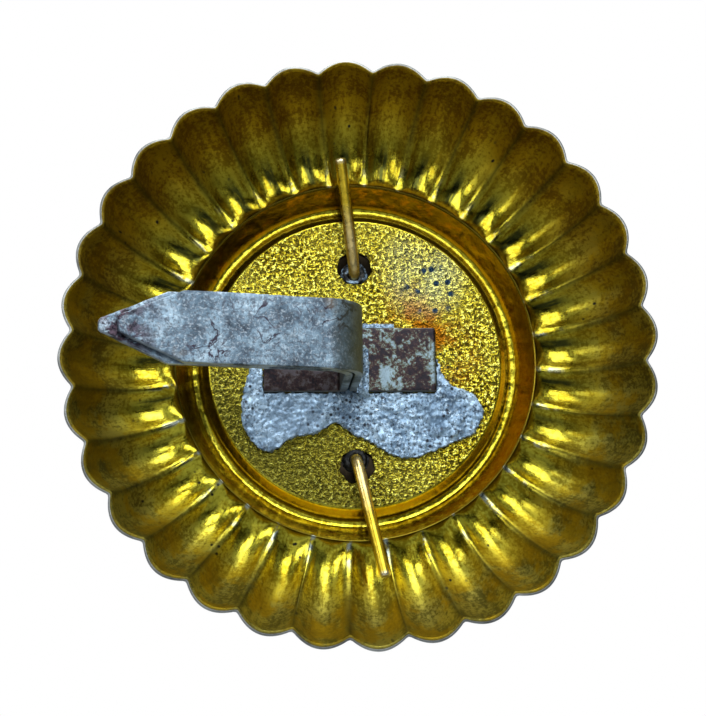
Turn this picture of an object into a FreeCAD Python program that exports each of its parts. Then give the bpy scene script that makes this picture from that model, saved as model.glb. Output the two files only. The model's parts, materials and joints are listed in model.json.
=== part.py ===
import FreeCAD, Part
import math
import os

# Cap badge: a round fluted cockade, pressed from thin brass, with its back open.
# Frame: upright as it is worn. The front faces -Y, the open back faces +Y, +Z is up.
# The origin is the centre of the flat cut edge that seats against the cap (Y = 0).
# All lengths are in millimetres, all angles in degrees.

# rosette shell
FLUTE_COUNT = 32
FLUTE_PHASE = 2.5             # turn of the flutes about Y
TIP_RADIUS = 16.5             # outside of the lobes at the cut edge
SHEET = 0.3                   # thickness of the pressed sheet
SCALLOP_AT_RIM = 0.66         # how far each lobe stands out at the cut edge
SCALLOP_MIDWAY = 0.85         # how deep each trough is halfway along
TROUGH_HALF_ANGLE = 60.0      # half the arc that shapes a trough across its width
FLUTE_START_RADIUS = 10.45    # where the troughs begin, next to the smooth wall
RIM_SLOPE = 72.0              # steepness of the fluted wall at the cut edge
POCKET_SHARE = 0.3            # share of a flute taken by its rounded inner end
GROOVE_DEPTH = 6.0            # bottom of the ring groove, in front of the cut edge
WALL_RISE = 1.86              # smooth wall between the groove and the troughs
WALL_RUN = 0.85
GROOVE_WIDTH = 0.4            # flat bottom of the ring groove
FLANK_RISE = 0.9              # from the groove up to the flat floor
FLANK_RUN = 0.65
ALONG_STEPS = 22              # stations that each flute's surface passes through
ACROSS_STEPS = 10

# holes for the wires
HOLE_DIAMETER = 2.1
HOLE_SPACING = 11.8
HOLE_CENTRE_Z = -0.2          # the pair sits slightly low on the floor

# front emblem: plain pressed boss
EMBLEM_CLEARANCE = 0.15       # between the emblem's border and the recess it sits in
EMBLEM_SHEET = 0.5
EMBLEM_BEAD = 1.0             # thickness of its rounded border
BOSS_INSET = 0.7              # the boss ends this far inside the foot of the upper wire
BOSS_HEIGHT = 1.7
BOSS_STEP = 0.45              # flat step round the boss
STEP_WIDTH = 0.7

# brass wires that hold the emblem
WIRE_DIAMETER = 0.7
WIRE_BEND_RADIUS = 0.8        # to the middle of the wire
WIRE_CLEARANCE = 0.1          # under the tails, where the troughs begin
UPPER_STEM_LENGTH = 0.136     # straight part between the emblem and the bend
LOWER_STEM_LENGTH = 0.2066
UPPER_ROOT_X = 0.02
UPPER_ROOT_INSET = 0.4        # root is this much nearer the middle than its hole
UPPER_LEAN = 7.3              # lean of the tail from straight up, toward +X
UPPER_TAIL_LENGTH = 6.05
LOWER_ROOT_X = 0.08
LOWER_ROOT_INSET = 0.4
LOWER_LEAN = 12.0             # lean of the tail from straight down, toward -X
LOWER_TAIL_LENGTH = 6.4
WIRE_SOLDER_DIAMETER = 1.7
WIRE_SOLDER_HEIGHT = 0.3
WIRE_SOLDER_CLEARANCE = 0.06  # between the solder and the edge of the hole

# steel prongs, folded over together toward +X
STRIP_WIDTH = 3.78
STRIP_THICKNESS = 0.45
STRIP_GAP = 0.1               # clearance between the two strips, and at the fold
STRIP_CENTRE_Z = 0.1
OUTER_RISER_X = 0.0           # face of the outer riser that looks toward -X
OUTER_FOLD_RADIUS = 2.4       # outside of the fold
FOLD_HEIGHT = 0.455           # centre of the fold, behind the cut edge
FOLD_ANGLE = 77.0
FOOT_BEND_RADIUS = 0.35       # inside radius where a foot turns into its riser
OUTER_FOOT_LENGTH = 4.67      # from the outer riser's -X face to the foot's end
INNER_FOOT_LENGTH = 4.4       # from the inner riser's +X face to the foot's end
OUTER_LEG_LENGTH = 11.05
OUTER_TAPER_LENGTH = 3.4
OUTER_TIP_WIDTH = 0.85
INNER_LEG_LENGTH = 11.95
INNER_TAPER_LENGTH = 3.5
INNER_TIP_WIDTH = 0.6

# solder
POOL_THICKNESS = 0.34
POOL_EDGE_ROUND = 0.12
CORNER_SEAM = 0.42            # leg of the small solder wedge in the outer foot's corner
CORNER_SEAM_LENGTH = 2.6
TOP_SEAM_LENGTH = 1.9
TOP_SEAM_WIDTH = 0.34
TOP_SEAM_THICKNESS = 0.3

PITCH = 360.0 / FLUTE_COUNT
WIRE_RADIUS = WIRE_DIAMETER / 2.0
HOLE_RADIUS = HOLE_DIAMETER / 2.0
FLUTE_START_DEPTH = GROOVE_DEPTH - WALL_RISE
WALL_FOOT_RADIUS = FLUTE_START_RADIUS - WALL_RUN
GROOVE_INNER_RADIUS = WALL_FOOT_RADIUS - GROOVE_WIDTH
FLOOR_RADIUS = GROOVE_INNER_RADIUS - FLANK_RUN
FLOOR_BACK = FLANK_RISE - GROOVE_DEPTH
FLOOR_FRONT = FLOOR_BACK - SHEET
UPPER_HOLE_Z = HOLE_CENTRE_Z + HOLE_SPACING / 2.0
LOWER_HOLE_Z = HOLE_CENTRE_Z - HOLE_SPACING / 2.0
RISER_TOP = FOLD_HEIGHT
FOLD_CENTRE_X = OUTER_RISER_X + OUTER_FOLD_RADIUS
BOSS_RADIUS = UPPER_HOLE_Z - UPPER_ROOT_INSET - BOSS_INSET
INNER_FOLD_RADIUS = OUTER_FOLD_RADIUS - STRIP_THICKNESS - STRIP_GAP


def point_at(radius, depth, angle):
    """Point on a circle round the Y axis; angle 0 is toward -X, 90 is up."""
    turn = math.radians(angle)
    return FreeCAD.Vector(-radius * math.cos(turn), depth, radius * math.sin(turn))


# ---------------------------------------------------------------- rosette shell

def wall_lean():
    """Half the angle between the groove's bottom and the smooth wall."""
    return 0.5 * math.degrees(math.atan2(WALL_RISE, WALL_RUN))


def wall_step():
    """Step from the back to the front of the sheet at both ends of the smooth wall."""
    return SHEET * math.tan(math.radians(wall_lean()))


def flank_step():
    """The same at both ends of the flank between the groove and the floor."""
    return SHEET * math.tan(0.5 * math.atan2(FLANK_RISE, FLANK_RUN))


def trough_shape(across):
    """Rounded trough: 1 in the middle of a flute, 0 at the sharp ridges beside it."""
    half = math.radians(TROUGH_HALF_ANGLE)
    return (math.cos(across * half) - math.cos(half)) / (1.0 - math.cos(half))


def trough_depth(run):
    """Depth of a trough along the flute: 0 at its rounded inner end."""
    depth = SCALLOP_MIDWAY + (SCALLOP_AT_RIM - SCALLOP_MIDWAY) * run * run
    rest = max(0.0, 1.0 - run / POCKET_SHARE)
    return depth * math.sqrt(1.0 - rest * rest)


def ridge_line(run):
    """Radius and depth of the ridge between two flutes, from inner end to cut edge."""
    edge_radius = TIP_RADIUS - SHEET - SCALLOP_AT_RIM
    slope = math.radians(RIM_SLOPE)
    radius = FLUTE_START_RADIUS
    radius += (edge_radius - FLUTE_START_RADIUS) * math.sin(slope * run) / math.sin(slope)
    share = (math.cos(slope * run) - math.cos(slope)) / (1.0 - math.cos(slope))
    return radius, -FLUTE_START_DEPTH * share


def flute_point(across, along, front):
    """Point on the back or front of one flute."""
    run = along ** 1.7
    radius, depth = ridge_line(run)
    lean = math.radians(wall_lean() + (90.0 - wall_lean()) * run)
    out = trough_depth(run) * trough_shape(across)
    thick = 0.0
    if front:
        stretch = 1.0 / math.cos(math.radians(wall_lean())) - 1.0
        thick = SHEET * (1.0 + stretch * (1.0 - run) ** 2)
    radius += (out + thick) * math.sin(lean)
    depth -= (out + thick) * math.cos(lean)
    return radius, depth


def flute_surface(index, front):
    """Smooth surface through one flute."""
    middle = FLUTE_PHASE + index * PITCH
    rows = []
    for i in range(ACROSS_STEPS + 1):
        across = -1.0 + 2.0 * i / ACROSS_STEPS
        row = []
        for j in range(ALONG_STEPS + 1):
            radius, depth = flute_point(across, float(j) / ALONG_STEPS, front)
            row.append(point_at(radius, depth, middle + across * PITCH / 2.0))
        rows.append(row)
    surface = Part.BSplineSurface()
    surface.interpolate(rows)
    return surface


def end_edges(surface):
    """Edges of a flute surface at its inner end and at the cut edge."""
    v_first = surface.getVKnots()[0]
    v_last = surface.getVKnots()[-1]
    inner = surface.vIso(v_first).toShape()
    outer = surface.vIso(v_last).toShape()
    return inner, outer


def wall_foot_arc(index, radius, depth):
    """One flute's share of the circle at the foot of the smooth wall."""
    middle = FLUTE_PHASE + index * PITCH
    start = point_at(radius, depth, middle - PITCH / 2.0)
    halfway = point_at(radius, depth, middle)
    end = point_at(radius, depth, middle + PITCH / 2.0)
    return Part.Arc(start, halfway, end).toShape()


def ring_edge(radius, depth):
    """Full circle round the Y axis."""
    centre = FreeCAD.Vector(0.0, depth, 0.0)
    return Part.Circle(centre, FreeCAD.Vector(0, 1, 0), radius).toShape()


def dish_faces(foot_edges, front):
    """Groove bottom, flank and flat floor, inside the foot of the smooth wall."""
    step = flank_step() if front else 0.0
    thick = SHEET if front else 0.0
    groove = ring_edge(GROOVE_INNER_RADIUS - step, -GROOVE_DEPTH - thick)
    brink = ring_edge(FLOOR_RADIUS - step, FLOOR_BACK - thick)
    foot = Part.Wire(Part.__sortEdges__(foot_edges))
    bottom = Part.makeFace([foot, Part.Wire(groove)], "Part::FaceMakerBullseye")
    flank = Part.makeRuledSurface(groove, brink)
    floor = Part.Face(Part.Wire(brink))
    return [bottom, flank, floor]


def shell_side(front):
    """Every face of the back or the front of the shell, with its open edges."""
    faces = []
    rim_edges = []
    foot_edges = []
    foot_radius = WALL_FOOT_RADIUS + (wall_step() if front else 0.0)
    foot_depth = -GROOVE_DEPTH - (SHEET if front else 0.0)
    for index in range(FLUTE_COUNT):
        surface = flute_surface(index, front)
        inner, outer = end_edges(surface)
        foot = wall_foot_arc(index, foot_radius, foot_depth)
        faces.append(surface.toShape())
        faces.append(Part.makeRuledSurface(inner, foot))
        rim_edges.append(outer)
        foot_edges.append(foot)
    faces.extend(dish_faces(foot_edges, front))
    return faces, rim_edges


def rosette_blank():
    """Pressed rosette before the holes are punched."""
    back_faces, back_edges = shell_side(False)
    front_faces, front_edges = shell_side(True)
    outside = Part.Wire(Part.__sortEdges__(front_edges))
    inside = Part.Wire(Part.__sortEdges__(back_edges))
    rim = Part.makeFace([outside, inside], "Part::FaceMakerBullseye")
    shell = Part.makeShell(back_faces + front_faces + [rim])
    shell.sewShape()
    solid = Part.makeSolid(Part.makeShell(shell.Faces))
    if solid.Volume < 0.0:
        solid.reverse()
    return solid


def wire_hole(height):
    """Round punch for one wire hole."""
    centre = FreeCAD.Vector(0.0, FLOOR_FRONT - SHEET, height)
    return Part.makeCylinder(HOLE_RADIUS, 3.0 * SHEET, centre, FreeCAD.Vector(0, 1, 0))


def rosette_shell():
    solid = rosette_blank().cut(wire_hole(UPPER_HOLE_Z))
    solid = solid.cut(wire_hole(LOWER_HOLE_Z))
    return solid.Solids[0]


# ---------------------------------------------------------------- front emblem

def front_emblem():
    """Plain pressed boss with a rounded border, hollow behind the boss."""
    back = FLOOR_FRONT
    front = back - EMBLEM_SHEET
    middle = EMBLEM_BEAD / 2.0
    radius = FLOOR_RADIUS - flank_step() - EMBLEM_CLEARANCE
    rim = radius - middle
    step = BOSS_RADIUS + STEP_WIDTH
    sphere = (BOSS_RADIUS ** 2 + BOSS_HEIGHT ** 2) / (2.0 * BOSS_HEIGHT)
    inside = sphere - EMBLEM_SHEET
    low = front - BOSS_STEP
    ball = low - BOSS_HEIGHT + sphere
    turn = 0.5 * math.asin(BOSS_RADIUS / sphere)
    inner_edge = math.sqrt(inside ** 2 - (back - ball) ** 2) if back < ball + inside else 0.0
    inner_turn = 0.5 * math.asin(inner_edge / inside)
    apex_out = FreeCAD.Vector(0, ball - sphere, 0)
    apex_in = FreeCAD.Vector(0, ball - inside, 0)
    curve_out = FreeCAD.Vector(sphere * math.sin(turn), ball - sphere * math.cos(turn), 0)
    curve_in = FreeCAD.Vector(inside * math.sin(inner_turn), ball - inside * math.cos(inner_turn), 0)
    foot_out = FreeCAD.Vector(BOSS_RADIUS, low, 0)
    foot_in = FreeCAD.Vector(inner_edge, back, 0)
    step_low = FreeCAD.Vector(step, low, 0)
    step_high = FreeCAD.Vector(step, front, 0)
    border_front = FreeCAD.Vector(rim, front, 0)
    border_bulge = FreeCAD.Vector(radius, back - middle, 0)
    border_low = FreeCAD.Vector(rim + middle * 0.3, back - EMBLEM_BEAD, 0)
    border_back = FreeCAD.Vector(rim, back, 0)
    edges = [
        Part.Arc(apex_out, curve_out, foot_out).toShape(),
        Part.makeLine(foot_out, step_low),
        Part.makeLine(step_low, step_high),
        Part.makeLine(step_high, border_front),
        Part.makeLine(border_front, border_low),
        Part.Arc(border_low, border_bulge, border_back).toShape(),
        Part.makeLine(border_back, foot_in),
        Part.Arc(foot_in, curve_in, apex_in).toShape(),
        Part.makeLine(apex_in, apex_out),
    ]
    face = Part.Face(Part.Wire(edges))
    return face.revolve(FreeCAD.Vector(0, 0, 0), FreeCAD.Vector(0, 1, 0), 360)


# ---------------------------------------------------------------- wires

class WirePath:
    """Where one wire stands, where it is bent and where its tail lies."""

    def __init__(self, root_x, root_z, direction, stem_length, tail_length):
        self.root = FreeCAD.Vector(root_x, FLOOR_FRONT, root_z)
        self.out = direction
        self.up = FreeCAD.Vector(0, 1, 0)
        self.side = self.up.cross(direction)
        self.stem_length = stem_length
        self.start = self.root + self.up * stem_length
        self.pivot = self.start + self.out * WIRE_BEND_RADIUS
        self.fold = self.fold_over(abs(root_z) + WIRE_BEND_RADIUS)
        turn = math.radians(self.fold)
        self.along = self.out * math.sin(turn) + self.up * math.cos(turn)
        self.end = self.pivot - self.out * (WIRE_BEND_RADIUS * math.cos(turn))
        self.end = self.end + self.up * (WIRE_BEND_RADIUS * math.sin(turn))
        self.tail_length = tail_length

    def fold_over(self, pivot_radius):
        """Degrees of bend that lay the tail just clear of where the troughs begin."""
        across = FLUTE_START_RADIUS - pivot_radius
        rise = WIRE_CLEARANCE - FLUTE_START_DEPTH - self.pivot.y
        apart = math.asin((WIRE_BEND_RADIUS - WIRE_RADIUS) / math.hypot(across, rise))
        return 90.0 - math.degrees(math.atan2(rise, across) - apart)


def upper_wire():
    lean = math.radians(UPPER_LEAN)
    direction = FreeCAD.Vector(math.sin(lean), 0, math.cos(lean))
    root_z = UPPER_HOLE_Z - UPPER_ROOT_INSET
    return WirePath(UPPER_ROOT_X, root_z, direction, UPPER_STEM_LENGTH, UPPER_TAIL_LENGTH)


def lower_wire():
    lean = math.radians(LOWER_LEAN)
    direction = FreeCAD.Vector(-math.sin(lean), 0, -math.cos(lean))
    root_z = LOWER_HOLE_Z + LOWER_ROOT_INSET
    return WirePath(LOWER_ROOT_X, root_z, direction, LOWER_STEM_LENGTH, LOWER_TAIL_LENGTH)


def wire_stem(path):
    """Straight part that stands on the emblem and comes up through the hole."""
    return Part.makeCylinder(WIRE_RADIUS, path.stem_length, path.root, path.up)


def wire_bend(path):
    """Quarter bend between the stem and the tail."""
    circle = Part.Wire(Part.Circle(path.start, path.up, WIRE_RADIUS).toShape())
    return Part.Face(circle).revolve(path.pivot, path.side, path.fold)


def wire_tail(path):
    """Tail bent over against the shell, with a lightly broken cut end."""
    tail = Part.makeCylinder(WIRE_RADIUS, path.tail_length, path.end, path.along)
    tip = path.end + path.along * path.tail_length
    near = WIRE_RADIUS / 2.0
    rings = [edge for edge in tail.Edges if edge.BoundBox.Center.distanceToPoint(tip) < near]
    return tail.makeChamfer(WIRE_RADIUS * 0.3, rings)


def wire_solder():
    """Two low round blobs that fix the wires to the back of the emblem."""
    blobs = []
    room = HOLE_RADIUS - WIRE_SOLDER_CLEARANCE
    foot = WIRE_SOLDER_DIAMETER / 2.0
    top = (foot + WIRE_RADIUS) / 2.0
    for path, height in ((upper_wire(), UPPER_HOLE_Z), (lower_wire(), LOWER_HOLE_Z)):
        blob = Part.makeCone(foot, top, WIRE_SOLDER_HEIGHT, path.root, path.up)
        centre = FreeCAD.Vector(0.0, FLOOR_FRONT, height)
        blob = blob.common(Part.makeCylinder(room, WIRE_SOLDER_HEIGHT, centre, path.up))
        blob = blob.cut(Part.makeCylinder(WIRE_RADIUS, WIRE_SOLDER_HEIGHT, path.root, path.up))
        blobs.append(blob.cut(wire_bend(path)).Solids[0])
    return Part.makeCompound(blobs)


# ---------------------------------------------------------------- prongs

def strip_block(x_low, x_high, y_low, y_high):
    """Flat piece of the prong strip."""
    corner = FreeCAD.Vector(x_low, y_low, STRIP_CENTRE_Z - STRIP_WIDTH / 2.0)
    return Part.makeBox(x_high - x_low, y_high - y_low, STRIP_WIDTH, corner)


def bent_foot(face_x, toward, length):
    """Foot and riser in one piece; face_x is the riser face above the foot."""
    inside = FOOT_BEND_RADIUS
    outside = FOOT_BEND_RADIUS + STRIP_THICKNESS
    centre_x = face_x + toward * inside
    centre_y = FLOOR_BACK + outside
    foot_top = FLOOR_BACK + STRIP_THICKNESS
    far_x = face_x - toward * STRIP_THICKNESS
    end_x = face_x + toward * length
    bottom = STRIP_CENTRE_Z - STRIP_WIDTH / 2.0
    half = math.sqrt(0.5)

    def at(x, y):
        return FreeCAD.Vector(x, y, bottom)

    outer_mid = at(centre_x - toward * outside * half, centre_y - outside * half)
    inner_mid = at(centre_x - toward * inside * half, centre_y - inside * half)
    edges = [
        Part.makeLine(at(far_x, RISER_TOP), at(far_x, centre_y)),
        Part.Arc(at(far_x, centre_y), outer_mid, at(centre_x, FLOOR_BACK)).toShape(),
        Part.makeLine(at(centre_x, FLOOR_BACK), at(end_x, FLOOR_BACK)),
        Part.makeLine(at(end_x, FLOOR_BACK), at(end_x, foot_top)),
        Part.makeLine(at(end_x, foot_top), at(centre_x, foot_top)),
        Part.Arc(at(centre_x, foot_top), inner_mid, at(face_x, centre_y)).toShape(),
        Part.makeLine(at(face_x, centre_y), at(face_x, RISER_TOP)),
        Part.makeLine(at(face_x, RISER_TOP), at(far_x, RISER_TOP)),
    ]
    return Part.Face(Part.Wire(edges)).extrude(FreeCAD.Vector(0, 0, STRIP_WIDTH))


def fold_piece(outside_radius):
    """The part of a strip that is bent when the prongs are folded over."""
    x_low = FOLD_CENTRE_X - outside_radius
    bottom = STRIP_CENTRE_Z - STRIP_WIDTH / 2.0
    corners = [
        FreeCAD.Vector(x_low, RISER_TOP, bottom),
        FreeCAD.Vector(x_low + STRIP_THICKNESS, RISER_TOP, bottom),
        FreeCAD.Vector(x_low + STRIP_THICKNESS, RISER_TOP, bottom + STRIP_WIDTH),
        FreeCAD.Vector(x_low, RISER_TOP, bottom + STRIP_WIDTH),
        FreeCAD.Vector(x_low, RISER_TOP, bottom),
    ]
    face = Part.Face(Part.makePolygon(corners))
    pivot = FreeCAD.Vector(FOLD_CENTRE_X, FOLD_HEIGHT, 0)
    return face.revolve(pivot, FreeCAD.Vector(0, 0, -1), FOLD_ANGLE)


def tapered_leg(outside_radius, length, taper_length, tip_width):
    """Pointed leg, drawn standing straight up and then folded over with its bend."""
    x_low = FOLD_CENTRE_X - outside_radius
    half = STRIP_WIDTH / 2.0
    tip = tip_width / 2.0
    shoulder = RISER_TOP + length - taper_length
    end = RISER_TOP + length
    outline = [
        (-half, RISER_TOP), (half, RISER_TOP), (half, shoulder),
        (tip, end), (-tip, end), (-half, shoulder),
    ]
    corners = [FreeCAD.Vector(x_low, y, STRIP_CENTRE_Z + z) for z, y in outline]
    corners.append(corners[0])
    leg = Part.Face(Part.makePolygon(corners)).extrude(FreeCAD.Vector(STRIP_THICKNESS, 0, 0))
    pivot = FreeCAD.Vector(FOLD_CENTRE_X, FOLD_HEIGHT, 0)
    leg.rotate(pivot, FreeCAD.Vector(0, 0, -1), FOLD_ANGLE)
    return leg


def outer_prong_foot():
    return bent_foot(OUTER_RISER_X, -1.0, OUTER_FOOT_LENGTH)


def inner_prong_foot():
    face = OUTER_RISER_X + 2.0 * STRIP_THICKNESS + STRIP_GAP
    return bent_foot(face, 1.0, INNER_FOOT_LENGTH)


# ---------------------------------------------------------------- solder

def pool_outline():
    """Free-form edge of the solder that ran out below the two feet."""
    edge = [
        (5.9, 0.8), (6.35, -0.7), (6.75, -2.7), (6.3, -4.4), (5.05, -5.3), (3.6, -4.45),
        (2.2, -4.2), (1.28, -3.66), (0.4, -4.2), (-0.5, -4.6), (-1.6, -5.3), (-3.2, -5.7),
        (-5.1, -5.0), (-6.9, -4.2), (-7.45, -2.8), (-6.4, -1.6), (-5.3, -1.1), (-4.85, 0.1),
        (-3.0, 0.4), (0.4, 0.5), (3.5, 0.6), (5.2, 0.9),
    ]
    curve = Part.BSplineCurve()
    points = [FreeCAD.Vector(x, FLOOR_BACK, z) for x, z in edge]
    curve.interpolate(points, PeriodicFlag=True)
    return Part.Face(Part.Wire(curve.toShape()))


def corner_seam():
    """Wedge of solder in the corner between the outer foot and its riser."""
    foot_top = FLOOR_BACK + STRIP_THICKNESS
    edge_z = STRIP_CENTRE_Z - STRIP_WIDTH / 2.0
    reach = FOOT_BEND_RADIUS + CORNER_SEAM
    corners = [
        FreeCAD.Vector(OUTER_RISER_X, foot_top - 0.3, edge_z - 0.3),
        FreeCAD.Vector(OUTER_RISER_X, foot_top + reach, edge_z - 0.3),
        FreeCAD.Vector(OUTER_RISER_X - reach, foot_top, edge_z - 0.3),
        FreeCAD.Vector(OUTER_RISER_X - reach, foot_top - 0.3, edge_z - 0.3),
        FreeCAD.Vector(OUTER_RISER_X, foot_top - 0.3, edge_z - 0.3),
    ]
    wedge = Part.Face(Part.makePolygon(corners))
    return wedge.extrude(FreeCAD.Vector(0, 0, 0.3 + CORNER_SEAM_LENGTH))


def prong_solder():
    """Pool below the feet, joined to the wedge in the outer foot's corner."""
    pool = pool_outline().extrude(FreeCAD.Vector(0, POOL_THICKNESS, 0))
    top = [edge for edge in pool.Edges if edge.BoundBox.YMin > FLOOR_BACK + POOL_THICKNESS * 0.9]
    pool = pool.makeFillet(POOL_EDGE_ROUND, top)
    joined = pool.fuse(corner_seam())
    joined = joined.cut(outer_prong_foot())
    joined = joined.cut(inner_prong_foot())
    joined = joined.cut(wire_hole(LOWER_HOLE_Z))
    pieces = sorted(joined.Solids, key=lambda piece: piece.Volume)
    return pieces[-1]


def top_solder_seam():
    """Thin run of solder along the upper edge of the outer foot."""
    top_z = STRIP_CENTRE_Z + STRIP_WIDTH / 2.0
    corner = FreeCAD.Vector(OUTER_RISER_X - 0.4 - TOP_SEAM_LENGTH, FLOOR_BACK, top_z)
    seam = Part.makeBox(TOP_SEAM_LENGTH, TOP_SEAM_THICKNESS, TOP_SEAM_WIDTH, corner)
    edges = [edge for edge in seam.Edges if edge.BoundBox.ZMin > top_z + TOP_SEAM_WIDTH * 0.9]
    high = [edge for edge in edges if edge.BoundBox.YMin > FLOOR_BACK + TOP_SEAM_THICKNESS * 0.9]
    return seam.makeFillet(TOP_SEAM_WIDTH * 0.6, high)


def inner_prong_leg():
    return tapered_leg(INNER_FOLD_RADIUS, INNER_LEG_LENGTH, INNER_TAPER_LENGTH, INNER_TIP_WIDTH)


def outer_prong_leg():
    return tapered_leg(OUTER_FOLD_RADIUS, OUTER_LEG_LENGTH, OUTER_TAPER_LENGTH, OUTER_TIP_WIDTH)


def build():
    upper = upper_wire()
    lower = lower_wire()
    return {
        "rosette_shell": rosette_shell(),
        "front_emblem": front_emblem(),
        "wire_solder": wire_solder(),
        "upper_wire_stem": wire_stem(upper),
        "upper_wire_bend": wire_bend(upper),
        "upper_wire_tail": wire_tail(upper),
        "lower_wire_stem": wire_stem(lower),
        "lower_wire_bend": wire_bend(lower),
        "lower_wire_tail": wire_tail(lower),
        "inner_prong_foot": inner_prong_foot(),
        "inner_prong_bend": fold_piece(INNER_FOLD_RADIUS),
        "inner_prong_leg": inner_prong_leg(),
        "outer_prong_foot": outer_prong_foot(),
        "outer_prong_bend": fold_piece(OUTER_FOLD_RADIUS),
        "outer_prong_leg": outer_prong_leg(),
        "prong_solder": prong_solder(),
        "top_solder_seam": top_solder_seam(),
    }


os.makedirs("parts", exist_ok=True)
for name, shape in build().items():
    shape.exportStep("parts/" + name + ".step")
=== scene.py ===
import json
import math
import random

import bpy
import numpy as np
from mathutils import Matrix, Vector, geometry, noise

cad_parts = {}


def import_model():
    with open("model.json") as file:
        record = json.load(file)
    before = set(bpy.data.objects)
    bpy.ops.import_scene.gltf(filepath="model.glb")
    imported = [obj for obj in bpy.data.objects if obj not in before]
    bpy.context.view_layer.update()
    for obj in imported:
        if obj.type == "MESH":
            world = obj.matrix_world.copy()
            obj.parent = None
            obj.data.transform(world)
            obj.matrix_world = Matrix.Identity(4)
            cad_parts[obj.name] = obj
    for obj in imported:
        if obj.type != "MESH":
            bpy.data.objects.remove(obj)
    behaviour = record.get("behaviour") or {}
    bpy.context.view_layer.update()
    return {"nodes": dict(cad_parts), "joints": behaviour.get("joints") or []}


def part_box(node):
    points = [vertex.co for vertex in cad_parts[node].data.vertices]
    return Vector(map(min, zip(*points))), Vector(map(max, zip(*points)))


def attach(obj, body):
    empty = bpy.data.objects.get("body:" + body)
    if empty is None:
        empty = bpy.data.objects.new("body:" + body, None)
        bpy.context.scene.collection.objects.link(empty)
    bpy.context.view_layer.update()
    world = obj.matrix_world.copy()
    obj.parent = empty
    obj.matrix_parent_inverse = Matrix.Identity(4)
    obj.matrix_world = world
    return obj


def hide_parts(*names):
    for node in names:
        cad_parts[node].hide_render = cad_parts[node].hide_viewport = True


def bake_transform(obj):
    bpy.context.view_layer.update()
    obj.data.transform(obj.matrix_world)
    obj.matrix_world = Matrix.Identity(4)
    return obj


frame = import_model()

# Looks of the cap badge: a fluted, lacquered brass cockade seen from its open back,
# with two folded steel prongs, solder, and two brass wires that hold the front emblem.

random.seed(7)
MM = 0.001
scene = bpy.context.scene


# ---------------------------------------------------------------- sizes from the frame

shell_low, shell_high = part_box("rosette_shell")
TIP = shell_high.x / MM
FLOOR_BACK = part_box("outer_prong_foot")[0].y / MM
FLOOR_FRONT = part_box("front_emblem")[1].y / MM
SHEET = FLOOR_BACK - FLOOR_FRONT
GROOVE_BACK = shell_low.y / MM + SHEET
FLUTES = 32
PHASE = 2.5
PITCH = 360.0 / FLUTES
START_RADIUS = 10.45
WALL_RISE = 1.86
WALL_RUN = 0.85
GROOVE_WIDTH = 0.4
FLANK_RISE = 0.9
FLANK_RUN = 0.65
LOBE_HEIGHT = 0.66
START_DEPTH = -GROOVE_BACK - WALL_RISE
WALL_LEAN = 0.5 * math.degrees(math.atan2(WALL_RISE, WALL_RUN))
FOOT_RADIUS = START_RADIUS - WALL_RUN
GROOVE_RADIUS = FOOT_RADIUS - GROOVE_WIDTH
FLOOR_RADIUS = GROOVE_RADIUS - FLANK_RUN
HOLE_RADIUS = 1.05
HOLES = (5.7, -6.1)


def joint(name):
    return [j for j in frame["joints"] if j["name"] == name][0]


# ---------------------------------------------------------------- mesh helpers

def make_object(name, points, faces, smooth=True):
    """Mesh object from points in millimetres."""
    mesh = bpy.data.meshes.new(name)
    mesh.from_pydata([(p[0] * MM, p[1] * MM, p[2] * MM) for p in points], [], faces)
    mesh.validate()
    mesh.update()
    mesh.shade_smooth() if smooth else mesh.shade_flat()
    obj = bpy.data.objects.new(name, mesh)
    scene.collection.objects.link(obj)
    return obj


def set_attribute(obj, name, values):
    layer = obj.data.attributes.new(name, "FLOAT", "POINT")
    layer.data.foreach_set("value", np.array(values, dtype=np.float32))


def ring_faces(first, second, count, flip=False):
    """Quads between two closed rings given by the index of their first point."""
    faces = []
    for i in range(count):
        n = (i + 1) % count
        quad = (first + i, first + n, second + n, second + i)
        faces.append(quad[::-1] if flip else quad)
    return faces


def fractal(p, scale, seed, depth=3):
    """Smooth noise about -1..1 at a point in millimetres."""
    q = Vector((p[0] * scale + seed * 17.3, p[1] * scale - seed * 9.1, p[2] * scale + seed * 4.7))
    return noise.fractal(q, 0.6, 2.0, depth)


# ---------------------------------------------------------------- rosette

ACROSS = 24
COLUMNS = FLUTES * ACROSS
HOLE_SIDES = 72


def trough_shape(across, run):
    """Rounded trough, 1 in the middle; its ridges are softer toward the inner end."""
    half = math.radians(60.0)
    shape = (math.cos(across * half) - math.cos(half)) / (1.0 - math.cos(half))
    soft = 0.30 - 0.22 * min(1.0, max(0.0, run))
    into = max(0.0, abs(across) - (1.0 - soft))
    return shape + 1.81 * into * into / (2.0 * soft)


def trough_depth(run):
    depth = 0.85 - 0.19 * run * run
    rest = max(0.0, 1.0 - run / 0.3)
    return depth * math.sqrt(1.0 - rest * rest)


def flute_point(across, run, front, extra=0.0):
    """Radius and depth of one point of a flute, on the back or the front."""
    slope = math.radians(72.0)
    edge = TIP - SHEET - LOBE_HEIGHT
    radius = START_RADIUS + (edge - START_RADIUS) * math.sin(slope * run) / math.sin(slope)
    depth = -START_DEPTH * (math.cos(slope * run) - math.cos(slope)) / (1.0 - math.cos(slope))
    lean = math.radians(WALL_LEAN + (90.0 - WALL_LEAN) * run)
    out = trough_depth(run) * trough_shape(across, run) + extra
    if front:
        out += SHEET * (1.0 + (1.0 / math.cos(math.radians(WALL_LEAN)) - 1.0) * (1.0 - run) ** 2)
    return radius + out * math.sin(lean), depth - out * math.cos(lean)


def at(radius, depth, angle):
    turn = math.radians(angle)
    return (-radius * math.cos(turn), depth, radius * math.sin(turn))


flute_bias = [(random.uniform(-1, 1), random.uniform(-1, 1), random.uniform(-1, 1)) for _ in range(FLUTES)]


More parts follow.
